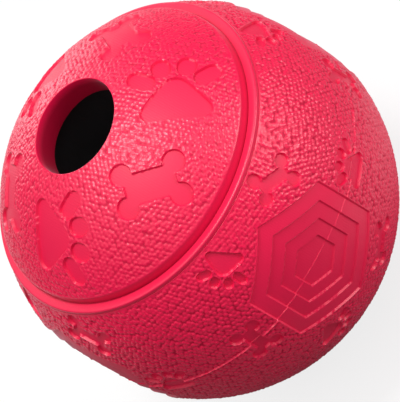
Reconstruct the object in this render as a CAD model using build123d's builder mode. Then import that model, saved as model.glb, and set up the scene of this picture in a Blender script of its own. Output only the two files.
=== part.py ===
from build123d import *
from math import asin, cos, degrees, radians, sin, sqrt
import os

# Treat dispensing ball. It stands on Z = 0 with its treat mouth up, and its hexagons
# face -Y, +X, +Y and -X. Sizes are in millimetres and angles in degrees. Heights are
# counted from the ball's centre.

# Ball, wall and treat mouth
ball_d = 110.0
wall = 7.8
mouth_d = 28.0
mouth_round = 0.3

# Cap: the dome ends in a step with a fine groove at its foot, then a flat ring covers the joint
step_polar = 51.43
step_round = 1.2
groove_w = 0.5
groove_h = 0.4
ring_w = 3.0
ring_proud = 0.75
ring_round = 0.6
lip_h = 1.5
skirt_inset = 1.8
skirt_wall = 3.0
skirt_h = 15.0
plug_clearance = 0.10
lead_in = 0.8

# Body: a collar inside its mouth holds the skirt
collar_h = 13.5
collar_taper_h = 5.5

# Stepped hexagons round the middle, as shares of the seat's height above the centre
hexagons = 4
hexagon_share = 0.74
tread_shares = (1.0, 0.78, 0.565, 0.35)
tread_h = 0.55

# Paws and bones, sunk to floors that follow the ball. Those round a hexagon are shares of
# the seat's height, and those of the cap are shares of the dome's width from mouth to step
motif_depth = 0.8
body_paw_reach = 0.911
body_paw_share = 0.36
body_bone_reach = 0.889
body_bone_share = 0.3333
body_bone_bar = 0.44
cap_motifs = 3
cap_paw_reach = 0.495
cap_paw_share = 0.5737
cap_paw_azimuth = -47.0
cap_bone_reach = 0.5193
cap_bone_share = 0.4345
cap_bone_bar = 0.58
cap_bone_azimuth = -98.0
cap_bone_turn = -40.0

# Maze tray: a push fit in the skirt, with a round well under the mouth
maze_clearance = 0.10
maze_shoulder_gap = 0.3
maze_wall = 2.5
maze_plug_h = 13.0
maze_rim_h = 11.0
maze_dome_gap = 0.9
well_margin = 3.2
well_gap_w = 16.0
well_gap_azimuth = 0.0
divider_azimuth = 45.0
port_azimuths = (68.0, 112.0)
port_rim = 1.55

# Where each revolved skin has its seam, clear of the motifs
body_seam = 30.0
cap_seam = 54.0


def height(radius, at_r):
    """How far above the centre a sphere of this radius is, at a distance from the axis."""
    return sqrt(radius**2 - at_r**2)


def angle(radius, at_z):
    """The angle above the middle at which a circle of this radius reaches a height."""
    return degrees(asin(at_z / radius))


ball_r = ball_d / 2
cavity_r = ball_r - wall
centre = Vector(0, 0, ball_r)

# Cap and its seat, from the mouth outwards and downwards
mouth_r = mouth_d / 2
mouth_polar = degrees(asin(mouth_r / ball_r))
step_r = ball_r * sin(radians(step_polar))
ring_r = step_r + ring_w
ring_z = height(ball_r + ring_proud, ring_r)
seat_z = ring_z - lip_h
skirt_r = step_r - skirt_inset
skirt_inner_r = skirt_r - skirt_wall
skirt_z = seat_z - skirt_h
bore_r = skirt_r + plug_clearance
collar_top_z = seat_z - collar_h
collar_foot_z = collar_top_z - collar_taper_h

# Relief
hexagon_r = hexagon_share * seat_z
body_paw_w = body_paw_share * seat_z
body_paw_off = asin(body_paw_reach * seat_z / ball_r)
body_bone_l = body_bone_share * seat_z
body_bone_off = asin(body_bone_reach * seat_z / ball_r)
dome_w = ball_r * radians(step_polar - mouth_polar)
cap_paw_w = cap_paw_share * dome_w
cap_paw_polar = mouth_polar + cap_paw_reach * (step_polar - mouth_polar)
cap_bone_l = cap_bone_share * dome_w
cap_bone_polar = mouth_polar + cap_bone_reach * (step_polar - mouth_polar)

# Maze tray, hung from the skirt's foot
maze_r = skirt_inner_r - maze_clearance
maze_inner_r = maze_r - maze_wall
shoulder_r = bore_r - maze_shoulder_gap
maze_top_z = skirt_z + maze_plug_h
maze_floor_z = skirt_z - maze_rim_h
floor_top = maze_floor_z + maze_wall
well_r = mouth_r + well_margin
lane_w = maze_inner_r - well_r - maze_wall
port_w = lane_w - 2 * port_rim


def meridian(azimuth):
    """An upright plane through the axis, with X outwards and Y up from the centre."""
    a = radians(azimuth)
    return Plane(origin=centre, x_dir=(cos(a), sin(a), 0), z_dir=(sin(a), -cos(a), 0))


def compass(azimuth, polar):
    """Outwards, towards the mouth and eastwards, at a place on the ball."""
    a, p = radians(azimuth), radians(polar)
    outwards = Vector(sin(p) * cos(a), sin(p) * sin(a), cos(p))
    north = Vector(-cos(p) * cos(a), -cos(p) * sin(a), sin(p))
    return outwards, north, north.cross(outwards)


def on_skin(outwards, up):
    """A plane that touches the ball, with its normal outwards and its Y axis up."""
    return Plane(origin=centre + outwards * ball_r, x_dir=up.cross(outwards), z_dir=outwards)


def draw_paw(width):
    """A broad pad with its heel towards -Y, and four toes towards +Y, the outer ones long."""
    with Locations((0, 0.06 * width)):
        Circle(0.23 * width)
    with Locations((-0.36 * width, -0.22 * width), (0.36 * width, -0.22 * width)):
        Circle(0.14 * width)
    make_hull()
    for side in (-1, 1):
        with Locations((side * 0.176 * width, 0.466 * width)):
            Ellipse(0.143 * width, 0.163 * width, rotation=-side * 10)
        with Locations((side * 0.455 * width, 0.307 * width)):
            Ellipse(0.132 * width, 0.218 * width, rotation=-side * 57)


def draw_bone(length, bar):
    """A bar along X with two round knuckles at each end."""
    Rectangle(length, bar * length)
    with GridLocations(length, 0.6 * length, 2, 2):
        Circle(0.22 * length)


def motif_cut(motifs, seam):
    """What is cut away for motifs given as plane, drawing and sizes."""
    with BuildPart() as cut:
        for plane, draw, sizes in motifs:
            deep = ball_r - height(ball_r - motif_depth, sizes[0])
            with BuildSketch(plane.offset(-deep)):
                draw(*sizes)
            extrude(amount=deep + motif_depth)
        with Locations(centre):
            Sphere(ball_r - motif_depth, rotation=(0, 0, seam), mode=Mode.SUBTRACT)
    return cut.part


def tread_cut(level):
    """What is cut away for one tread of the stepped hexagon at -Y."""
    outwards, north, east = compass(-90, 90)
    size = hexagon_r * tread_shares[level]
    floor_r = ball_r - (level + 1) * tread_h
    with BuildPart() as cut:
        with BuildSketch(on_skin(outwards, north)):
            RegularPolygon(size, 6, rotation=30)
        extrude(amount=height(floor_r, size) - tread_h - ball_r)
        with Locations(centre):
            Sphere(floor_r, rotation=(0, 0, body_seam), mode=Mode.SUBTRACT)
    return cut.part


def motifs_round_hexagon():
    """Bones and paws in turn, one along each edge of the hexagon at -Y. The paws walk round it."""
    outwards, north, east = compass(-90, 90)
    motifs = []
    for number in range(6):
        b = radians(30 + 60 * number)
        away = north * cos(b) + east * sin(b)
        along = north * sin(b) - east * cos(b)
        if number % 2 == 0:
            place = outwards * cos(body_bone_off) + away * sin(body_bone_off)
            plane = on_skin(place, place.cross(along))
            motifs.append((plane, draw_bone, (body_bone_l, body_bone_bar)))
        else:
            place = outwards * cos(body_paw_off) + away * sin(body_paw_off)
            motifs.append((on_skin(place, along), draw_paw, (body_paw_w,)))
    return motifs


def motifs_on_cap():
    """Bones and paws in turn round the mouth. The paws walk round it."""
    motifs = []
    for number in range(cap_motifs):
        turn = 360 / cap_motifs * number
        outwards, north, east = compass(cap_bone_azimuth + turn, cap_bone_polar)
        t = radians(cap_bone_turn + 90)
        plane = on_skin(outwards, north * sin(t) + east * cos(t))
        motifs.append((plane, draw_bone, (cap_bone_l, cap_bone_bar)))
        outwards, north, east = compass(cap_paw_azimuth + turn, cap_paw_polar)
        motifs.append((on_skin(outwards, east), draw_paw, (cap_paw_w,)))
    return motifs


os.makedirs("parts", exist_ok=True)

# Body: a hollow ball with its top cut off at the seat, and a collar inside the mouth
seat_angle = angle(ball_r, seat_z)
with BuildPart() as ball_body:
    with BuildSketch(meridian(body_seam)):
        with BuildLine():
            skin = CenterArc((0, 0), ball_r, -90, 90 + seat_angle)
            hollow = CenterArc((0, 0), cavity_r, -90, 90 + angle(cavity_r, collar_foot_z))
            Line(skin @ 0, hollow @ 0)
            Polyline(
                hollow @ 1,
                (bore_r, collar_top_z),
                (bore_r, seat_z - lead_in),
                (bore_r + lead_in, seat_z),
                skin @ 1,
            )
        make_face()
    revolve(axis=Axis.Z)
    with PolarLocations(0, hexagons):
        for level in range(len(tread_shares)):
            add(tread_cut(level), mode=Mode.SUBTRACT)
        add(motif_cut(motifs_round_hexagon(), body_seam), mode=Mode.SUBTRACT)

ball_body.part.label = "ball_body"
export_step(ball_body.part, "parts/ball_body.step")

# Cap: dome, step, ring and skirt in one profile
with BuildPart() as top_cap:
    with BuildSketch(meridian(cap_seam)) as cap_profile:
        dome_edge = (step_r, height(ball_r, step_r))
        mouth_edge = (mouth_r, height(ball_r, mouth_r))
        with BuildLine():
            dome_start = angle(ball_r, dome_edge[1])
            dome = CenterArc((0, 0), ball_r, dome_start, angle(ball_r, mouth_edge[1]) - dome_start)
            under_start = angle(cavity_r, height(cavity_r, skirt_inner_r))
            under_end = angle(cavity_r, height(cavity_r, mouth_r))
            under = CenterArc((0, 0), cavity_r, under_start, under_end - under_start)
            Line(dome @ 1, under @ 1)
            Polyline(
                under @ 0,
                (skirt_inner_r, skirt_z),
                (skirt_r - lead_in, skirt_z),
                (skirt_r, skirt_z + lead_in),
                (skirt_r, seat_z),
                (ring_r, seat_z),
                (ring_r, ring_z),
                (step_r + groove_w, ring_z),
                (step_r + groove_w, ring_z - groove_h),
                (step_r, ring_z - groove_h),
                dome @ 0,
            )
        make_face()
        fillet(cap_profile.vertices().sort_by_distance(dome_edge)[0], step_round)
        fillet(cap_profile.vertices().sort_by_distance(mouth_edge)[0], mouth_round)
        fillet(cap_profile.vertices().sort_by_distance((ring_r, ring_z))[0], ring_round)
    revolve(axis=Axis.Z)
    add(motif_cut(motifs_on_cap(), cap_seam), mode=Mode.SUBTRACT)

top_cap.part.label = "top_cap"
export_step(top_cap.part, "parts/top_cap.step")

# Maze tray: treats come up through the port, go round the outside and reach the well
floor_plane = Plane(origin=centre).offset(floor_top)
with BuildPart() as maze_tray:
    with BuildSketch(meridian(body_seam)):
        with BuildLine():
            Polyline(
                (0, maze_floor_z),
                (shoulder_r, maze_floor_z),
                (shoulder_r, skirt_z),
                (maze_r, skirt_z),
                (maze_r, maze_top_z),
                (maze_inner_r, maze_top_z),
                (maze_inner_r, floor_top),
                (0, floor_top),
                close=True,
            )
        make_face()
    revolve(axis=Axis.Z)
    with BuildSketch(floor_plane):
        Circle(well_r + maze_wall)
        Circle(well_r, mode=Mode.SUBTRACT)
        with PolarLocations((well_r + maze_inner_r) / 2, 1, start_angle=divider_azimuth):
            Rectangle(maze_inner_r - well_r, maze_wall)
        with PolarLocations(well_r, 1, start_angle=well_gap_azimuth):
            Rectangle(4 * maze_wall, well_gap_w, mode=Mode.SUBTRACT)
    extrude(amount=cavity_r)
    with BuildSketch(floor_plane):
        with BuildLine():
            start, end = port_azimuths
            CenterArc((0, 0), (well_r + maze_wall + maze_inner_r) / 2, start, end - start)
        trace(line_width=port_w)
    extrude(amount=-2 * maze_wall, mode=Mode.SUBTRACT)
    with Locations(centre):
        Sphere(cavity_r - maze_dome_gap, rotation=(0, 0, body_seam), mode=Mode.INTERSECT)

maze_tray.part.label = "maze_tray"
export_step(maze_tray.part, "parts/maze_tray.step")

for piece in (ball_body, top_cap, maze_tray):
    print(piece.part.label, f"{piece.part.volume / 1000:.1f} cm3", "valid" if piece.part.is_valid else "BAD")
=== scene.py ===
# %% [markdown]
# # A treat dispensing ball
# The ball is moulded from red rubber in two pieces, a body and a domed cap, with a black
# maze tray inside. The solids from the CAD work have its true size, its hexagons, paws and
# bones. What they lack is the skin: thousands of small pebbles, soft edges and the rubber
# itself. This lesson makes that skin as real mesh, so that it also shows on the outline.

# %% Load the solids
import math
from collections import namedtuple

import bmesh
import bpy
import numpy as np
from mathutils import Matrix, Vector
from mathutils.kdtree import KDTree


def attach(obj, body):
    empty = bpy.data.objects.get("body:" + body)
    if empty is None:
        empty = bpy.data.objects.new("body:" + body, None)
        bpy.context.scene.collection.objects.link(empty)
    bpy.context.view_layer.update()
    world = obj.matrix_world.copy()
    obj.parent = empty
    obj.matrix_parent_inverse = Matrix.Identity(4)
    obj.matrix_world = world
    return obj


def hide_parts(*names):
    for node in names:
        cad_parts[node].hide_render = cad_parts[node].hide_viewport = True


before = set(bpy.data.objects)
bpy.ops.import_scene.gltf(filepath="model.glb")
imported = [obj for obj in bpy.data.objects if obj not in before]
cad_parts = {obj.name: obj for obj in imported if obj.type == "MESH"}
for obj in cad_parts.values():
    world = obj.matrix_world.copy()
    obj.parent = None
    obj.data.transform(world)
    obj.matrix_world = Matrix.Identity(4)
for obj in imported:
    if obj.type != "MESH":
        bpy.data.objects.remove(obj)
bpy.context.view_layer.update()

# %% [markdown]
# ## Sizes
# All sizes are in millimetres, and heights count from the ball's centre, because almost
# every surface here is part of a sphere. They are the sizes of the CAD model, so the skin
# lies on the solids and nothing changes place. Here are the few that both pieces share.
# The others come with the step that needs them.

# %% Shared sizes
BALL_R, CAVITY_R = 55.0, 47.2
SEAT_Z, LEAD_IN = 29.995, 0.8
print("ball", 2 * BALL_R, "mm across, wall", round(BALL_R - CAVITY_R, 1), "mm")

# %% [markdown]
# ## Profiles
# Both pieces are turned forms with relief on them, so each starts as a profile that runs
# up the outside and back down the inside. Every station of the profile is a distance from
# the axis, a height, and the spacing that the vertices on its ring will have: fine where
# pebbles come, coarse inside.

# %% Arcs and straight runs
FINE, PLAIN, COARSE = 0.33, 0.8, 1.6
CORNER_STEP, RING_STEP, FLAT_STEP = 0.12, 0.6, 1.5


def arc(at_r, at_z, radius, start, end, step, around):
    """Stations along an arc. Angles count from straight outwards, towards the mouth."""
    count = max(2, math.ceil(abs(math.radians(end - start)) * radius / step))
    turn = np.radians(np.linspace(start, end, count + 1))
    return [(at_r + radius * math.cos(t), at_z + radius * math.sin(t), around) for t in turn]


def run(start, end, step, around):
    """Stations along a straight line."""
    count = max(1, math.ceil(math.dist(start, end) / step))
    share = np.linspace(0, 1, count + 1)[:, None]
    places = np.array(start) * (1 - share) + np.array(end) * share
    return [(r, z, around) for r, z in places]


def above(radius, at_r):
    """Height of a sphere at a distance from the axis."""
    return math.sqrt(radius**2 - at_r**2)


def lift(at_r, at_z):
    """Angle above the middle, in degrees, of a place on the profile."""
    return math.degrees(math.atan2(at_z, at_r))


print("a ring round the middle has", round(2 * math.pi * BALL_R / FINE), "vertices")

# %% [markdown]
# The body is a sphere cut off at the seat of the cap. Three rings lie close together on
# the middle, where the two halves of the mould meet and leave a thin ridge of flash.

# %% Profile of the body
SEAT_ROUND, FLASH_W = 0.3, 0.24
BORE_R, COLLAR_TOP_Z, COLLAR_FOOT_Z = 41.3, 16.495, 10.995
flash_lift = math.degrees(FLASH_W / BALL_R)
seat_r = above(BALL_R - SEAT_ROUND, SEAT_Z - SEAT_ROUND)
seat_lift = lift(seat_r, SEAT_Z - SEAT_ROUND)
collar_foot = (above(CAVITY_R, COLLAR_FOOT_Z), COLLAR_FOOT_Z)
body_profile = [
    *arc(0, 0, BALL_R, -90, -flash_lift, FINE, FINE),
    *arc(0, 0, BALL_R, -flash_lift, flash_lift, 2 * FLASH_W, FINE),
    *arc(0, 0, BALL_R, flash_lift, seat_lift, FINE, FINE),
    *arc(seat_r, SEAT_Z - SEAT_ROUND, SEAT_ROUND, seat_lift, 90, CORNER_STEP, FINE),
    *run((seat_r, SEAT_Z), (BORE_R + LEAD_IN, SEAT_Z), FLAT_STEP, PLAIN),
    *run((BORE_R + LEAD_IN, SEAT_Z), (BORE_R, SEAT_Z - LEAD_IN), FLAT_STEP, PLAIN),
    *run((BORE_R, SEAT_Z - LEAD_IN), (BORE_R, COLLAR_TOP_Z), COARSE, COARSE),
    *run((BORE_R, COLLAR_TOP_Z), collar_foot, COARSE, COARSE),
    *arc(0, 0, CAVITY_R, lift(*collar_foot), -90, COARSE, COARSE),
]
print("body profile:", len(body_profile), "stations")

# %% [markdown]
# The cap's profile is a closed loop: skirt, lip, ring, groove, step, dome, mouth and back
# down the inside. Rubber has no knife edges, so each outer corner is a small arc.

# %% Profile of the cap
MOUTH_R, MOUTH_ROUND = 14.0, 0.3
STEP_R, STEP_ROUND = 43.0, 1.2
GROOVE_W, GROOVE_H = 0.5, 0.4
RING_R, RING_Z, RING_ROUND, LIP_ROUND = 46.0, 31.495, 0.6, 0.25
SKIRT_R, SKIRT_INNER_R, SKIRT_Z = 41.2, 38.2, 14.995
step_at = (STEP_R - STEP_ROUND, above(BALL_R - STEP_ROUND, STEP_R - STEP_ROUND))
mouth_at = (MOUTH_R + MOUTH_ROUND, above(BALL_R - MOUTH_ROUND, MOUTH_R + MOUTH_ROUND))
mouth_foot = (MOUTH_R, above(CAVITY_R, MOUTH_R))
groove_r, groove_z = STEP_R + GROOVE_W, RING_Z - GROOVE_H
skirt_root = (SKIRT_INNER_R, above(CAVITY_R, SKIRT_INNER_R))
cap_profile = [
    *run((SKIRT_R - LEAD_IN, SKIRT_Z), (SKIRT_R, SKIRT_Z + LEAD_IN), FLAT_STEP, PLAIN),
    *run((SKIRT_R, SKIRT_Z + LEAD_IN), (SKIRT_R, SEAT_Z), COARSE, COARSE),
    *run((SKIRT_R, SEAT_Z), (RING_R - LIP_ROUND, SEAT_Z), FLAT_STEP, PLAIN),
    *arc(RING_R - LIP_ROUND, SEAT_Z + LIP_ROUND, LIP_ROUND, -90, 0, CORNER_STEP, FINE),
    *arc(RING_R - RING_ROUND, RING_Z - RING_ROUND, RING_ROUND, 0, 90, CORNER_STEP, FINE),
    *run((RING_R - RING_ROUND, RING_Z), (groove_r, RING_Z), RING_STEP, FINE),
    *run((groove_r, RING_Z), (groove_r, groove_z), RING_STEP, FINE),
    *run((groove_r, groove_z), (STEP_R, groove_z), RING_STEP, FINE),
    *run((STEP_R, groove_z), (STEP_R, step_at[1]), RING_STEP, FINE),
    *arc(*step_at, STEP_ROUND, 0, lift(*step_at), FINE, FINE),
    *arc(0, 0, BALL_R, lift(*step_at), lift(*mouth_at), FINE, FINE),
    *arc(*mouth_at, MOUTH_ROUND, lift(*mouth_at), 180, CORNER_STEP, FINE),
    *run((MOUTH_R, mouth_at[1]), mouth_foot, PLAIN, PLAIN),
    *arc(0, 0, CAVITY_R, lift(*mouth_foot), lift(*skirt_root), COARSE, COARSE),
    *run(skirt_root, (SKIRT_INNER_R, SKIRT_Z), COARSE, COARSE),
    *run((SKIRT_INNER_R, SKIRT_Z), (SKIRT_R - LEAD_IN, SKIRT_Z), FLAT_STEP, PLAIN),
]
print("cap profile:", len(cap_profile), "stations")

# %% [markdown]
# ## Turning a profile
# A Screw modifier would give every ring the same number of vertices, which crowds them at
# the poles. Here each ring gets as many as its length needs, and two neighbouring rings
# are closed like a zip: the edges of both are walked by angle, and each edge becomes one
# triangle with the vertex that the other ring has reached. A ring is written as its first
# vertex, its count, and the part of a step that it starts at.

# %% Zip two rings


def edge_middles(ring):
    """Shares of a full turn at the middles of a ring's edges. A pole has no edges."""
    _, count, start = ring
    return (np.arange(count) + start + 0.5) / count if count > 1 else np.zeros(0)


def turn_at(ring, number, middle):
    """Share of a full turn at a ring's vertex. A pole takes the middle of the edge it closes."""
    _, count, start = ring
    return (number + start) / count if count > 1 else middle


def zip_rings(low, high):
    """Triangles between two rings, and the share of a full turn at each of their corners."""
    (low_first, low_count, _), (high_first, high_count, _) = low, high
    low_mid, high_mid = edge_middles(low), edge_middles(high)
    i, k = np.arange(len(low_mid)), np.arange(len(high_mid))
    j, h = np.searchsorted(high_mid, low_mid, "left"), np.searchsorted(low_mid, high_mid, "right")
    faces = np.concatenate([
        np.stack([low_first + i % low_count, low_first + (i + 1) % low_count,
                  high_first + j % high_count], 1),
        np.stack([low_first + h % low_count, high_first + (k + 1) % high_count,
                  high_first + k % high_count], 1),
    ])
    turns = np.concatenate([
        np.stack([turn_at(low, i, low_mid), turn_at(low, i + 1, low_mid),
                  turn_at(high, j, low_mid)], 1),
        np.stack([turn_at(low, h, high_mid), turn_at(high, k + 1, high_mid),
                  turn_at(high, k, high_mid)], 1),
    ])
    return faces, turns


print("rings of 8 and 5 vertices make", len(zip_rings((0, 8, 0), (8, 5, 0.5))[0]), "triangles")

# %% [markdown]
# The turned form also gets a UV map, which is the unrolled profile, and a list of the rings
# where the profile turns sharply, so that they can be shaded as edges later. Odd rings start
# half a step further round, which keeps the triangles even.

# %% Turn the profiles
SAME_PLACE, ON_AXIS = 1e-6, 0.01
SHARP_TURN = math.radians(35)
UV_SPAN, UV_CORNER = (0.985, 0.99), (0.003, 0.005)
Form = namedtuple("Form", "places faces uv ring_of sharp")


def turned(profile, closed):
    """Vertices, triangles, UVs, ring numbers and sharp rings of a turned profile."""
    stations = [profile[0]]
    for station in profile[1:]:
        if math.dist(station[:2], stations[-1][:2]) > SAME_PLACE:
            stations.append(station)
    if closed:
        stations.pop()
    places, rings, ring_of, first = [], [], [], 0
    for number, (r, z, around) in enumerate(stations):
        count = max(3, round(2 * math.pi * r / around)) if r > ON_AXIS else 1
        start = 0.5 * (number % 2)
        angle = (np.arange(count) + start) / count * 2 * math.pi
        places.append(np.stack([r * np.cos(angle), r * np.sin(angle), np.full(count, z)], 1))
        rings.append((first, count, start))
        ring_of += [number] * count
        first += count
    line = np.array([s[:2] for s in stations + stations[:1]])
    length = np.concatenate([[0], np.cumsum(np.linalg.norm(np.diff(line, axis=0), axis=1))])
    faces, uvs = [], []
    for n in range(len(rings) if closed else len(rings) - 1):
        ring_faces, turn = zip_rings(rings[n], rings[(n + 1) % len(rings)])
        low = np.isin(ring_faces, np.arange(rings[n][0], rings[n][0] + rings[n][1]))
        faces.append(ring_faces)
        uvs.append(np.stack([turn, np.where(low, length[n], length[n + 1])], 2))
    way = np.diff(np.concatenate([line[-2:-1], line]), axis=0)
    heading = np.unwrap(np.arctan2(way[:, 1], way[:, 0]))
    sharp = np.abs(np.diff(heading)) > SHARP_TURN
    span = [UV_SPAN[0], UV_SPAN[1] / length[-1 if closed else -2]]
    uv = np.concatenate(uvs) * span + UV_CORNER
    return Form(np.concatenate(places), np.concatenate(faces), uv, np.array(ring_of), sharp)


body_form = turned(body_profile, closed=False)
cap_form = turned(cap_profile, closed=True)
flash_ring = body_form.ring_of[np.abs(body_form.places[:, 2]).argmin()]
body_form.sharp[flash_ring - 1:flash_ring + 2] = True
for label, form in (("body", body_form), ("cap", cap_form)):
    print(label, len(form.places), "vertices,", len(form.faces), "triangles")
    print(label, form.sharp.sum(), "sharp rings")

# %% [markdown]
# ## Paws, bones and hexagons
# Each motif is a union of hulls, and each hull is a rubber band round some discs. A paw has
# a pad round three discs and four toes, and a bone has a bar and four knuckles. For such
# convex shapes the distance to the edge is simple: over all directions, take the largest
# amount by which a point lies beyond the band. The direction that wins is also the way out.

# %% Motifs as hulls of discs
SWEEP = np.radians(np.arange(0, 360, 2))
DIRECTIONS = np.stack([np.cos(SWEEP), np.sin(SWEEP)])
# Shares of a paw's width: x, y and radius, and for a toe its lean in degrees and half its length
PAD = ((0, 0.06, 0.23), (-0.36, -0.22, 0.14), (0.36, -0.22, 0.14))
TOES = ((0.176, 0.466, 0.143, 10, 0.02), (0.455, 0.307, 0.132, 57, 0.086))
# Shares of a bone's length
KNUCKLE_Y, KNUCKLE_R = 0.3, 0.22
HEXAGON_R = 22.2


def draw_paw(width):
    """A pad with a flat heel and four toes, as hulls of discs (x, y, radius)."""
    hulls = [PAD]
    for side in (-1, 1):
        for x, y, radius, lean, half in TOES:
            dx = side * half * math.sin(math.radians(lean))
            dy = half * math.cos(math.radians(lean))
            hulls.append([(side * x - dx, y - dy, radius), (side * x + dx, y + dy, radius)])
    return [np.array(hull) * width for hull in hulls]


def draw_bone(length, bar):
    """A bar with two round knuckles at each end. The bar's height is a share of its length."""
    ends = [(sx, sy) for sx in (-1, 1) for sy in (-1, 1)]
    hulls = [[(sx * 0.5, sy * 0.5 * bar, 0) for sx, sy in ends]]
    hulls += [[(sx * 0.5, sy * KNUCKLE_Y, KNUCKLE_R)] for sx, sy in ends]
    return [np.array(hull) * length for hull in hulls]


def draw_hexagon(radius):
    """A hexagon that stands on a corner."""
    corners = np.radians(np.arange(30, 390, 60))
    return [np.stack([np.cos(corners), np.sin(corners), np.zeros(6)], 1) * radius]


def edge_distance(flat, hulls):
    """How far each point lies outside a union of hulls (inside is negative), and the way out."""
    best, out = np.full(len(flat), np.inf), np.zeros((len(flat), 2))
    for hull in hulls:
        support = (hull[:, :2] @ DIRECTIONS + hull[:, 2:]).max(0)
        beyond = flat @ DIRECTIONS - support
        winner = beyond.argmax(1)
        distance = beyond[np.arange(len(flat)), winner]
        nearer = distance < best
        best[nearer], out[nearer] = distance[nearer], DIRECTIONS.T[winner[nearer]]
    return best, out


middle = edge_distance(np.zeros((1, 2)), draw_hexagon(HEXAGON_R))[0][0]
print("middle of a hexagon to its edge:", round(-middle, 2), "mm")

# %% [markdown]
# The layout on the ball repeats. Four hexagons face the four sides, each sunk in four
# treads, and round each one three bones and three paws take turns, with the paws walking
# round it. On the cap, three bones and three paws circle the mouth.

# %% Places on the ball
MOTIF_DEPTH = 0.8


def compass(azimuth, polar):
    """Outwards, towards the mouth and eastwards, at a place on the ball."""
    a, p = math.radians(azimuth), math.radians(polar)
    outwards = Vector((math.sin(p) * math.cos(a), math.sin(p) * math.sin(a), math.cos(p)))
    north = Vector((-math.cos(p) * math.cos(a), -math.cos(p) * math.sin(a), math.sin(p)))
    return outwards, north, north.cross(outwards)


def place(outwards, up, hulls, depth):
    """A motif with its tangent axes on the ball."""
    outwards = outwards.normalized()
    across = up.cross(outwards).normalized()
    axes = np.array([across, outwards.cross(across)]).T
    return {"outwards": np.array(outwards), "axes": axes, "hulls": hulls, "depth": depth}


print("the first hexagon faces", [round(c) for c in compass(-90, 90)[0]])

# %% Hexagons, bones and paws on the body
TREADS, TREAD_H = (1.0, 0.78, 0.565, 0.35), 0.55
BODY_BONE, BODY_BONE_BAR, BODY_BONE_REACH = 10.0, 0.44, 29.0
BODY_PAW, BODY_PAW_REACH = 10.8, 29.8
hexagon_cuts, body_motifs = [], []
for turn in (0, 90, 180, 270):
    outwards, north, east = compass(turn - 90, 90)
    for share in TREADS:
        hexagon_cuts.append(place(outwards, north, draw_hexagon(HEXAGON_R * share), TREAD_H))
    for number in range(6):
        bearing = math.radians(30 + 60 * number)
        away = north * math.cos(bearing) + east * math.sin(bearing)
        along = north * math.sin(bearing) - east * math.cos(bearing)
        is_bone = number % 2 == 0
        reach = math.radians(BODY_BONE_REACH if is_bone else BODY_PAW_REACH)
        spot = outwards * math.cos(reach) + away * math.sin(reach)
        up = spot.cross(along) if is_bone else along
        hulls = draw_bone(BODY_BONE, BODY_BONE_BAR) if is_bone else draw_paw(BODY_PAW)
        body_motifs.append(place(spot, up, hulls, MOTIF_DEPTH))
print(len(hexagon_cuts), "hexagon treads and", len(body_motifs), "motifs on the body")

# %% Bones and paws on the cap
CAP_BONE, CAP_BONE_BAR, CAP_BONE_SLANT = 15.3, 0.58, math.radians(50)
CAP_BONE_AZIMUTH, CAP_BONE_POLAR = -98, 33.8
CAP_PAW, CAP_PAW_AZIMUTH, CAP_PAW_POLAR = 20.2, -47, 32.9
cap_motifs = []
for turn in (0, 120, 240):
    outwards, north, east = compass(turn + CAP_BONE_AZIMUTH, CAP_BONE_POLAR)
    up = north * math.sin(CAP_BONE_SLANT) + east * math.cos(CAP_BONE_SLANT)
    cap_motifs.append(place(outwards, up, draw_bone(CAP_BONE, CAP_BONE_BAR), MOTIF_DEPTH))
    outwards, north, east = compass(turn + CAP_PAW_AZIMUTH, CAP_PAW_POLAR)
    cap_motifs.append(place(outwards, east, draw_paw(CAP_PAW), MOTIF_DEPTH))
print(len(cap_motifs), "motifs on the cap")

# %% [markdown]
# Sinking a motif into a fine mesh gives ragged walls, because the edge rarely runs through
# the vertices. So the vertices near an edge first slide along the skin onto it, some to the
# top of the wall and some to its foot. That gives clean outlines without a finer mesh.

# %% Sink the motifs
WALL_W = 0.34
FAR_OFF, MARGIN = 50.0, 3.0


def sink(unit, cuts):
    """Moves unit directions onto the motif edges. Returns depths, edge distances and edge numbers."""
    depth, edge, crease = np.zeros(len(unit)), np.full(len(unit), FAR_OFF), np.zeros(len(unit), int)
    for number, cut in enumerate(cuts):
        reach = max(np.abs(hull).sum(1).max() for hull in cut["hulls"]) + MARGIN
        near = np.flatnonzero(unit @ cut["outwards"] > math.cos(reach / BALL_R))
        distance, out = edge_distance(BALL_R * unit[near] @ cut["axes"], cut["hulls"])
        move = np.zeros(len(near))
        to_top = (distance > -WALL_W / 2) & (distance < FINE / 2)
        to_foot = (distance <= -WALL_W / 2) & (distance > -WALL_W - FINE / 2)
        move[to_top], move[to_foot] = -distance[to_top], -WALL_W - distance[to_foot]
        slid = unit[near] + (out * move[:, None]) @ cut["axes"].T / BALL_R
        unit[near] = slid / np.linalg.norm(slid, axis=1)[:, None]
        depth[near] += cut["depth"] * np.clip(-(distance + move) / WALL_W, 0, 1)
        edge[near] = np.minimum(edge[near], distance + move)
        crease[near[to_top]], crease[near[to_foot]] = 2 * number + 1, 2 * number + 2
    return depth, edge, crease


print("walls are", WALL_W, "mm wide and", MOTIF_DEPTH, "mm deep")

# %% [markdown]
# ## Pebbles
# The mould was etched with a close-packed pebble pattern, 1.4 mm from top to top. On a
# sphere the most even close packing is an icosahedron whose faces are cut into small
# triangles: nearly every point has six neighbours. Blender's icosphere only doubles, so the
# faces are cut here by Subdivide with as many cuts as the pebbles need. Pushed straight out
# to the sphere, the points would lie closer at the corners than in the middle of a face, so
# each point's shares of its three corners are taken as angles instead of lengths. A little
# seeded jitter keeps the rows from looking drawn.

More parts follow.
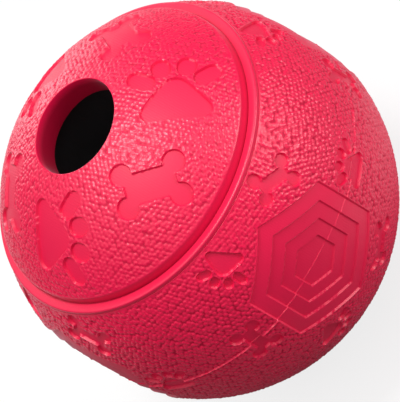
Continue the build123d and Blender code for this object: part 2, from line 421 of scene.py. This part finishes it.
# %% Pebble centres
PEBBLE_PITCH, JITTER = 1.38, 0.12
SMALLEST, LARGEST = 0.82, 1.12
EDGE_ANGLE = math.acos(1 / math.sqrt(5))
rng = np.random.default_rng(8)
ball_area, pebble_area = 4 * math.pi * BALL_R**2, PEBBLE_PITCH**2 * math.sqrt(3) / 2
cuts_per_edge = round(math.sqrt(ball_area / pebble_area / 10))
lattice = bmesh.new()
bmesh.ops.create_icosphere(lattice, subdivisions=1, radius=1)
triangles = np.array([[v.co for v in face.verts] for face in lattice.faces])
bmesh.ops.subdivide_edges(lattice, edges=lattice.edges[:], cuts=cuts_per_edge - 1, use_grid_fill=True)
seeds = np.array([v.co for v in lattice.verts])
lattice.free()
corners = triangles[(seeds @ triangles.mean(1).T).argmax(1)]
shares = np.linalg.solve(corners.transpose(0, 2, 1), seeds[:, :, None])
shares /= shares.sum(1)[:, None]
seeds = (np.sin(shares * EDGE_ANGLE) * corners).sum(1)
seeds /= np.linalg.norm(seeds, axis=1)[:, None]
seeds += rng.normal(0, JITTER * PEBBLE_PITCH / BALL_R, seeds.shape)
seeds *= BALL_R / np.linalg.norm(seeds, axis=1)[:, None]
pebble_size = rng.uniform(SMALLEST, LARGEST, len(seeds))
pebble_tree = KDTree(len(seeds))
for number, seed in enumerate(seeds):
    pebble_tree.insert(seed, number)
pebble_tree.balance()
gaps = [pebble_tree.find_n(seed, 2)[1][2] for seed in seeds[::50]]
print(len(seeds), "pebbles, mostly", np.percentile(gaps, [10, 90]).round(2), "mm from the next")

# %% [markdown]
# Each pebble is a flat dome that ends in the crevice to its neighbours. Near the edges of
# motifs, seat, step and mouth the pebbles fade out, as the mould maker leaves a smooth
# border. They stand a little lower on the cap than on the body.

# %% Pebble heights
DOME_R, DOME_FOOT, DOME_POWER = 0.6, 0.07, 0.65


def fade(value, start, end):
    """A smooth step from 0 to 1."""
    t = np.clip((value - start) / (end - start), 0, 1)
    return t * t * (3 - 2 * t)


def pebble_height(unit):
    """From low in a crevice to about 1 on top of a pebble, at directions from the centre."""
    found = [pebble_tree.find(direction) for direction in unit * BALL_R]
    far = np.array([hit[2] for hit in found]) / (DOME_R * PEBBLE_PITCH)
    size = pebble_size[[hit[1] for hit in found]]
    return size * np.clip(1 - far**2, DOME_FOOT, 1) ** DOME_POWER


print("a crevice is", round(1 - DOME_FOOT**DOME_POWER, 2), "of a pebble's height deep")

# %% [markdown]
# Now the relief is put together. The flash is the middle ring, pulled out a little and made
# to sway. It is thicker on one side, where the halves of the mould closed less tightly. The
# material needs two values as well: how high a place is on its pebble, where smooth borders
# count as nearly a top and the inside of the ball as a crevice, and how deep it is in a motif.
# The first value also carries painted shade: crevices and the inside of the ball are coloured
# darker, and motif floors a little darker than the smooth borders.

# %% Relief of both skins
PEBBLE_H, PEBBLE_SINK, CAP_BOLD = 0.47, 0.4, 0.87
BORDER_W, BORDER_SINK = 0.45, 0.05
SEAT_BORDER, CAP_BORDER, NO_BORDER = (0.1, 0.6), (-0.3, 0.3), (-1, -0.5)
FLASH_H, FLASH_THICKEST, FLASH_MEAN, FLASH_SWING = 0.44, math.radians(-150), 0.6, 0.4
FLASH_WAVE, FLASH_WAVES = 0.05, (23, 57, 131)
FLASH_PEBBLES, FLASH_IN_MOTIFS = 0.4, 0.5
# From 0.3 mm to 3.5 mm under the skin the pebble value falls to a crevice's, which paints shade on the
# inside of the ball. Motif floors take a value a little below the smooth borders, which gives them a
# little painted shade and less shine.
BORDER_TOP, FLOOR_DROP, INSIDE_SHADE = 0.8, 0.18, (0.3, 3.5)
Relief = namedtuple("Relief", "places tops floors creases")


def skin(form, cuts, upper_border, lower_border, bold):
    """Gives a turned form its relief: places in mm, pebble and depth values, and edge numbers."""
    places = form.places.copy()
    on_skin = np.abs(np.linalg.norm(places, axis=1) - BALL_R) < SAME_PLACE
    unit = places[on_skin] / BALL_R
    height = np.arcsin(unit[:, 2]) * BALL_R
    on_flash = np.abs(height) < FLASH_W / 2
    depth, edge, crease = sink(unit, cuts)
    room = fade(height.max() - height, *upper_border)
    room = np.minimum(room, fade(height - height.min(), *lower_border))
    room *= fade(edge, 0.0, BORDER_W) * np.where(on_flash, FLASH_PEBBLES, 1)
    pebble = pebble_height(unit)
    relief = room * bold * (pebble * PEBBLE_H - PEBBLE_SINK) - (1 - room) * BORDER_SINK - depth
    along = np.arctan2(unit[on_flash, 1], unit[on_flash, 0])
    wave = FLASH_WAVE * sum(np.sin(times * along + shift) for shift, times in enumerate(FLASH_WAVES))
    thick = FLASH_H * (FLASH_MEAN + FLASH_SWING * np.cos(along - FLASH_THICKEST))
    relief[on_flash] += (thick + wave) * np.where(depth[on_flash] > 0, FLASH_IN_MOTIFS, 1)
    unit[on_flash, 2] += wave / BALL_R
    places[on_skin] = unit * (BALL_R + relief)[:, None]
    # Painted shade: under the skin, inside the mouth and the ball, the pebble value falls to a
    # crevice's.
    tops = BORDER_TOP * (1 - fade(BALL_R - np.linalg.norm(places, axis=1), *INSIDE_SHADE))
    floors, creases = np.zeros(len(places)), np.zeros(len(places), int)
    floors[on_skin] = np.clip(depth / MOTIF_DEPTH, 0, 1)
    border = BORDER_TOP - FLOOR_DROP * floors[on_skin]
    tops[on_skin] = room * (1 - bold * (1 - pebble)) + (1 - room) * border
    creases[on_skin] = crease
    return Relief(places, tops, floors, creases)


body_relief = skin(body_form, hexagon_cuts + body_motifs, SEAT_BORDER, NO_BORDER, 1.0)
cap_relief = skin(cap_form, cap_motifs, CAP_BORDER, CAP_BORDER, CAP_BOLD)
floor_r = np.linalg.norm(body_relief.places[body_relief.floors > 0.99], axis=1)
print("deepest floor", round(BALL_R - floor_r.min(), 2), "mm")

# %% [markdown]
# ## From arrays to objects
# The arrays become two meshes. Rings where the profile turns sharply and the edges of motif
# walls get sharp edges, and everything else is shaded smooth. The two values for the
# material become attributes of the vertices.

# %% Build the two skins


def build(name, form, relief, node, body):
    """Makes the mesh object that stands for a CAD node and rides on its body."""
    mesh = bpy.data.meshes.new(name)
    world = (relief.places + [0, 0, BALL_R]) / 1000
    mesh.from_pydata(world.tolist(), [], form.faces.tolist(), shade_flat=False)
    ends = np.zeros(2 * len(mesh.edges), np.int32)
    mesh.edges.foreach_get("vertices", ends)
    one, other = ends[0::2], ends[1::2]
    on_ring = (form.ring_of[one] == form.ring_of[other]) & form.sharp[form.ring_of[one]]
    on_wall = (relief.creases[one] == relief.creases[other]) & (relief.creases[one] > 0)
    mesh.attributes.new("sharp_edge", "BOOLEAN", "EDGE").data.foreach_set("value", on_ring | on_wall)
    for label, values in (("pebble", relief.tops), ("sunk", relief.floors)):
        kept = mesh.attributes.new(label, "FLOAT", "POINT")
        kept.data.foreach_set("value", values.astype(np.float32))
    mesh.uv_layers.new(name="OFBake").data.foreach_set("uv", form.uv.astype(np.float32).ravel())
    made = bpy.data.objects.new(name, mesh)
    bpy.context.scene.collection.objects.link(made)
    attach(made, body)
    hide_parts(node)
    print(name, len(mesh.vertices), "vertices,", len(mesh.polygons), "faces")
    return made


body_skin = build("body_skin", body_form, body_relief, "ball_body", "body")
cap_skin = build("cap_skin", cap_form, cap_relief, "top_cap", "cap")

# %% [markdown]
# The maze tray is the CAD solid itself. Its mesh stays as it is, and two modifiers give it
# the small rounded edges of moulded rubber: Weld joins the faces that the import left
# apart, and Bevel rounds what is sharper than 35 degrees.

# %% Round the tray's edges
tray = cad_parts["maze_tray"]
weld = tray.modifiers.new("join", "WELD")
weld.merge_threshold = 0.00001
bevel = tray.modifiers.new("round", "BEVEL")
bevel.width, bevel.segments = 0.0004, 2
bevel.limit_method, bevel.angle_limit = "ANGLE", SHARP_TURN
bevel.harden_normals = True
print("tray:", len(tray.data.vertices), "vertices before the modifiers")

# %% [markdown]
# ## Materials
# Colours are written as sRGB hex values, as a paint program shows them, and one function
# turns them to the linear values that Blender's nodes use. One more function adds a node:
# it sets what it is given, and links what is a socket. A Mix node has sockets of several
# kinds under one name, so its colour sockets are taken by their number.

# %% Colour and node helpers
MIX_A, MIX_B, MIX_OUT = 6, 7, 2


def linear(code):
    """An sRGB hex colour as linear RGBA."""
    parts = [int(code[n:n + 2], 16) / 255 for n in (1, 3, 5)]
    return [*((c / 12.92 if c <= 0.04045 else ((c + 0.055) / 1.055) ** 2.4) for c in parts), 1]


def per_mm(size):
    """The texture scale at which a pattern has this size in millimetres."""
    return 1000 / size


def add_node(tree, kind, inputs=None, **settings):
    """Adds a node with its settings, and sets or links its inputs."""
    made = tree.nodes.new(kind)
    for label, value in settings.items():
        setattr(made, label, value)
    for socket, value in (inputs or {}).items():
        if isinstance(value, bpy.types.NodeSocket):
            tree.links.new(value, made.inputs[socket])
        else:
            made.inputs[socket].default_value = value
    return made


def new_material(name):
    """An empty node material and its output node."""
    made = bpy.data.materials.new(name)
    made.use_nodes = True
    made.node_tree.nodes.clear()
    return made, made.node_tree, made.node_tree.nodes.new("ShaderNodeOutputMaterial")


print("middle grey in linear light:", round(linear("#808080")[0], 3))

# %% [markdown]
# The red is natural rubber, pressed in a steel mould. It is an opaque pigment colour, a little
# cloudy, with a soft satin gloss. Handling polishes the pebble tops, so they are glossier. The
# crevices and the inside of the ball are painted a darker red as shade, and stay dull.

# %% Red natural rubber, colour
red, tree, output = new_material("natural_rubber_red_moulded")
spot = add_node(tree, "ShaderNodeTexCoord").outputs["Object"]
top = add_node(tree, "ShaderNodeAttribute", attribute_name="pebble").outputs["Fac"]
sunk = add_node(tree, "ShaderNodeAttribute", attribute_name="sunk").outputs["Fac"]
cloud = add_node(tree, "ShaderNodeTexNoise", {"Vector": spot, "Scale": per_mm(24), "Detail": 3.0})
# Painted shade: where the pebble value is low, in crevices and inside the ball, the red turns to the
# dark #840422, and pebble tops keep the bright red.
cavity_shade = add_node(tree, "ShaderNodeMapRange", {"Value": top, "From Min": 0.05, "From Max": 0.68})
colour = add_node(tree, "ShaderNodeMix", {
    "Factor": cavity_shade.outputs["Result"],
    MIX_A: linear("#840422"), MIX_B: linear("#ec0d49")}, data_type="RGBA")
mottle = add_node(tree, "ShaderNodeMix", {
    "Factor": cloud.outputs["Fac"],
    MIX_A: linear("#d60a3c"), MIX_B: linear("#ee0f4a")}, data_type="RGBA")
both = add_node(tree, "ShaderNodeMix", {
    "Factor": 0.35,
    MIX_A: colour.outputs[MIX_OUT], MIX_B: mottle.outputs[MIX_OUT]}, data_type="RGBA")
print("red rubber nodes so far:", len(tree.nodes))

# %% [markdown]
# A grain from the mould's blasted steel covers everything. The real one is about 0.1 mm,
# too fine to show here, so it is drawn at 0.45 mm. The floors of the motifs keep faint lines
# from the cutter, 0.7 mm apart, and shine less than the skin. A Wave texture fits about
# three bands into the size it is given, so that size is 2.2 mm. The crevices are shaded by
# the pebbles round them, which is why their reflection is weak. A trace of sheen gives the
# pale haze that new rubber has where it is seen at a slant.

# %% Red natural rubber, gloss and grain
grain = add_node(tree, "ShaderNodeTexNoise", {"Vector": spot, "Scale": per_mm(0.45), "Detail": 2.0})
lines = add_node(tree, "ShaderNodeTexWave", {"Vector": spot, "Scale": per_mm(2.2), "Distortion": 0.8})
gloss = add_node(tree, "ShaderNodeMapRange", {"Value": top, "To Min": 0.7, "To Max": 0.26})
dull = add_node(tree, "ShaderNodeMath", {
    0: sunk, 1: 0.08, 2: gloss.outputs["Result"]}, operation="MULTIPLY_ADD")
open_skin = add_node(tree, "ShaderNodeMapRange", {
    "Value": top, "From Max": 0.7, "To Min": 0.12, "To Max": 0.62})
shine = add_node(tree, "ShaderNodeMath", {
    0: sunk, 1: -0.08, 2: open_skin.outputs["Result"]}, operation="MULTIPLY_ADD")
cutter = add_node(tree, "ShaderNodeMath", {0: lines.outputs["Fac"], 1: sunk}, operation="MULTIPLY")
grit = add_node(tree, "ShaderNodeBump", {
    "Height": grain.outputs["Fac"], "Strength": 0.4, "Distance": 0.00008})
marks = add_node(tree, "ShaderNodeBump", {
    "Height": cutter.outputs[0], "Strength": 0.12, "Distance": 0.0001,
    "Normal": grit.outputs["Normal"]})
surface = add_node(tree, "ShaderNodeBsdfPrincipled", {
    "Base Color": both.outputs[MIX_OUT], "Roughness": dull.outputs[0], "IOR": 1.5,
    "Specular IOR Level": shine.outputs[0], "Sheen Weight": 0.25, "Sheen Roughness": 0.25,
    "Sheen Tint": linear("#ffdcf0"), "Normal": marks.outputs["Normal"]})
tree.links.new(surface.outputs[0], output.inputs["Surface"])
for piece in (body_skin, cap_skin):
    piece.data.materials.append(red)
print("red rubber nodes:", len(tree.nodes))

# %% [markdown]
# The tray is the same kind of rubber filled with carbon black. It is nearly black, duller
# than the red, and shows a faint grey bloom where wax has come to the surface. Its grain is
# drawn coarser than the real one too.

# %% Black natural rubber
black, tree, output = new_material("natural_rubber_black_moulded")
spot = add_node(tree, "ShaderNodeTexCoord").outputs["Object"]
bloom = add_node(tree, "ShaderNodeTexNoise", {"Vector": spot, "Scale": per_mm(9), "Detail": 5.0})
grain = add_node(tree, "ShaderNodeTexNoise", {"Vector": spot, "Scale": per_mm(0.5), "Detail": 2.0})
shade = add_node(tree, "ShaderNodeMix", {
    "Factor": bloom.outputs["Fac"],
    MIX_A: linear("#18181a"), MIX_B: linear("#2c2b2d")}, data_type="RGBA")
gloss = add_node(tree, "ShaderNodeMapRange", {
    "Value": bloom.outputs["Fac"], "To Min": 0.5, "To Max": 0.75})
grit = add_node(tree, "ShaderNodeBump", {
    "Height": grain.outputs["Fac"], "Strength": 0.3, "Distance": 0.00008})
surface = add_node(tree, "ShaderNodeBsdfPrincipled", {
    "Base Color": shade.outputs[MIX_OUT], "Roughness": gloss.outputs["Result"], "IOR": 1.52,
    "Specular IOR Level": 0.35, "Normal": grit.outputs["Normal"]})
tree.links.new(surface.outputs[0], output.inputs["Surface"])
tray.data.materials.clear()
tray.data.materials.append(black)
print("black rubber nodes:", len(tree.nodes))

# %% [markdown]
# ## Stage, light and camera
# The photograph has a white ground. A Light Path node tells what kind of ray asks, so the
# floor can be white to the camera and to glass, and still throw only a little light back up
# at the ball. In a gloss it is partly white, and more so behind the ball, where a backdrop
# would stand. Close to the ball a part of it stays ordinary paper, which keeps the shadow.

# %% White ground for some rays


def white_share(tree, in_gloss):
    """How much of the white ground a ray sees: all from the camera and glass, some in a gloss."""
    path = add_node(tree, "ShaderNodeLightPath")
    seen = add_node(tree, "ShaderNodeMath", {
        0: path.outputs["Is Camera Ray"], 1: path.outputs["Is Transmission Ray"]}, operation="MAXIMUM")
    gloss = add_node(tree, "ShaderNodeMath", {
        0: path.outputs["Is Glossy Ray"], 1: in_gloss}, operation="MULTIPLY")
    return add_node(tree, "ShaderNodeMath", {
        0: seen.outputs[0], 1: gloss.outputs[0]}, operation="MAXIMUM").outputs[0]


paper, tree, output = new_material("matt_white_paper")
spot = add_node(tree, "ShaderNodeTexCoord").outputs["Object"]
behind = add_node(tree, "ShaderNodeSeparateXYZ", {0: spot}).outputs["Y"]
in_gloss = add_node(tree, "ShaderNodeMapRange", {
    "Value": behind, "From Min": 0.03, "From Max": 0.15, "To Min": 0.05, "To Max": 0.5})
white = white_share(tree, in_gloss.outputs["Result"])
away = add_node(tree, "ShaderNodeVectorMath", {0: spot}, operation="LENGTH").outputs["Value"]
level = add_node(tree, "ShaderNodeMapRange", {
    "Value": away, "From Min": 0.06, "From Max": 0.25, "To Min": 0.78, "To Max": 1.0})
share = add_node(tree, "ShaderNodeMath", {0: white, 1: level.outputs["Result"]}, operation="MULTIPLY")
print("paper nodes so far:", len(tree.nodes))

# %% [markdown]
# To other rays the paper is dark, so that the ball's underside stays in shade. Only a patch
# beside the ball is pale, at the front right: like the white card that a photographer lays
# there, it throws light up at the lower side. It ends 15 cm from the middle.

# %% Paper floor
DARK_TONE, CARD_TONE, PAPER_TONE = 0.1, 0.7, 0.9
CARD_SIDE = (0.92, -0.39, 0)
FLOOR_HALF = 4
aside = add_node(tree, "ShaderNodeVectorMath", {0: spot, 1: CARD_SIDE}, operation="DOT_PRODUCT")
card_end = add_node(tree, "ShaderNodeMapRange", {
    "Value": away, "From Min": 0.1, "From Max": 0.15, "To Min": CARD_TONE, "To Max": DARK_TONE})
card = add_node(tree, "ShaderNodeMapRange", {
    "Value": aside.outputs["Value"], "From Min": 0.04, "From Max": 0.07,
    "To Min": DARK_TONE, "To Max": card_end.outputs["Result"]})
tone = add_node(tree, "ShaderNodeMapRange", {
    "Value": white, "To Min": card.outputs["Result"], "To Max": PAPER_TONE})
sheet = add_node(tree, "ShaderNodeBsdfDiffuse", {"Color": tone.outputs["Result"]})
glow = add_node(tree, "ShaderNodeEmission", {"Color": linear("#ffffff"), "Strength": 1.0})
mixed = add_node(tree, "ShaderNodeMixShader", {
    0: share.outputs[0], 1: sheet.outputs[0], 2: glow.outputs[0]})
tree.links.new(mixed.outputs[0], output.inputs["Surface"])
ground = bpy.data.meshes.new("floor")
square = [(x * FLOOR_HALF, y * FLOOR_HALF, 0) for x, y in ((-1, -1), (1, -1), (1, 1), (-1, 1))]
ground.from_pydata(square, [], [(0, 1, 2, 3)])
ground.materials.append(paper)
floor = bpy.data.objects.new("floor", ground)
bpy.context.scene.collection.objects.link(floor)
print("floor", 2 * FLOOR_HALF, "m square at height 0")

# %% [markdown]
# The light in the photograph comes mostly from above the mouth, and a second, lower source
# stands at the picture's right. So the world is a dome that is bright overhead and dim at
# the horizon, and four square lamps help it: a key above, a side light, a weak fill in front
# and a light behind for the haze along the cap's far edge. The fill isn't mirrored in the
# rubber, because the photograph shows no such reflection.

# %% World
world = bpy.data.worlds.new("studio")
bpy.context.scene.world = world
world.use_nodes = True
tree = world.node_tree
tree.nodes.clear()
rise = add_node(tree, "ShaderNodeSeparateXYZ", {
    0: add_node(tree, "ShaderNodeTexCoord").outputs["Generated"]})
dome = add_node(tree, "ShaderNodeMapRange", {
    "Value": rise.outputs["Z"], "From Min": 0.2, "From Max": 1.0, "To Min": 0.05, "To Max": 1.0},
    interpolation_type="SMOOTHSTEP")
level = add_node(tree, "ShaderNodeMath", {
    0: white_share(tree, 0.05), 1: dome.outputs["Result"]}, operation="MAXIMUM")
sky = add_node(tree, "ShaderNodeBackground", {
    "Color": linear("#ffffff"), "Strength": level.outputs[0]})
tree.links.new(sky.outputs[0], add_node(tree, "ShaderNodeOutputWorld").inputs["Surface"])
print("world nodes:", len(tree.nodes))

# %% Lamps
LAMP_DISTANCE = 1.2
CENTRE = Vector((0, 0, BALL_R / 1000))


def softbox(name, towards, size, power, mirrored=True):
    """A square area lamp that looks at the ball from a direction. The camera never sees it itself."""
    lamp = bpy.data.lights.new(name, "AREA")
    lamp.size, lamp.energy = size, power
    holder = bpy.data.objects.new(name, lamp)
    away = Vector(towards).normalized()
    holder.location = CENTRE + away * LAMP_DISTANCE
    holder.rotation_mode = "QUATERNION"
    holder.rotation_quaternion = away.to_track_quat("Z", "Y")
    holder.visible_camera, holder.visible_glossy = False, mirrored
    bpy.context.scene.collection.objects.link(holder)
    return holder


lamps = [
    softbox("key", (0.12, -0.02, 0.99), 0.4, 8.0),
    softbox("side", (0.78, -0.6, 0.18), 0.7, 9.0),
    softbox("fill", (-0.45, -0.85, 0.25), 0.6, 2.2, mirrored=False),
    softbox("back", (0.1, 0.95, 0.14), 0.7, 5.0),
]
for lamp in lamps:
    print(lamp.name, "lamp at", [round(c, 2) for c in lamp.location], round(lamp.data.energy, 1), "W")

# %% [markdown]
# The photograph was taken from far away, so the ball is seen almost without perspective: a
# long lens 40 ball radii off. The camera looks down at 42 degrees and is rolled, so the
# mouth shows at the upper left. The picture is 400 by 402, and the ball nearly fills it.

# %% Camera
IMAGE_H, OUTLINE_PX, OFF_CENTRE_PX = 402, 199.5, (-0.3, 1.3)
ELEVATION, AZIMUTH, ROLL = math.radians(42.05), math.radians(-1.8), math.radians(59.53)
DISTANCE_IN_RADII = 40
distance, pixel = DISTANCE_IN_RADII * BALL_R / 1000, BALL_R / 1000 / OUTLINE_PX
back = Vector((math.sin(AZIMUTH) * math.cos(ELEVATION), -math.cos(AZIMUTH) * math.cos(ELEVATION),
               math.sin(ELEVATION)))
level_right = Vector((math.cos(AZIMUTH), math.sin(AZIMUTH), 0))
level_up = back.cross(level_right)
right = level_right * math.cos(ROLL) - level_up * math.sin(ROLL)
up = level_right * math.sin(ROLL) + level_up * math.cos(ROLL)
aim = CENTRE - (right * OFF_CENTRE_PX[0] + up * OFF_CENTRE_PX[1]) * pixel
lens = bpy.data.cameras.new("camera")
half_view = math.tan(math.asin(1 / DISTANCE_IN_RADII))
lens.lens = OUTLINE_PX / half_view * lens.sensor_width / IMAGE_H
lens.clip_start, lens.clip_end = 0.1, 20
camera = bpy.data.objects.new("camera", lens)
axes = Matrix((right, up, back)).transposed().to_4x4()
camera.matrix_world = Matrix.Translation(aim + back * distance) @ axes
bpy.context.scene.collection.objects.link(camera)
bpy.context.scene.camera = camera
bpy.context.scene.view_settings.view_transform = "Standard"
print("lens", round(lens.lens), "mm at", round(distance, 2), "m")
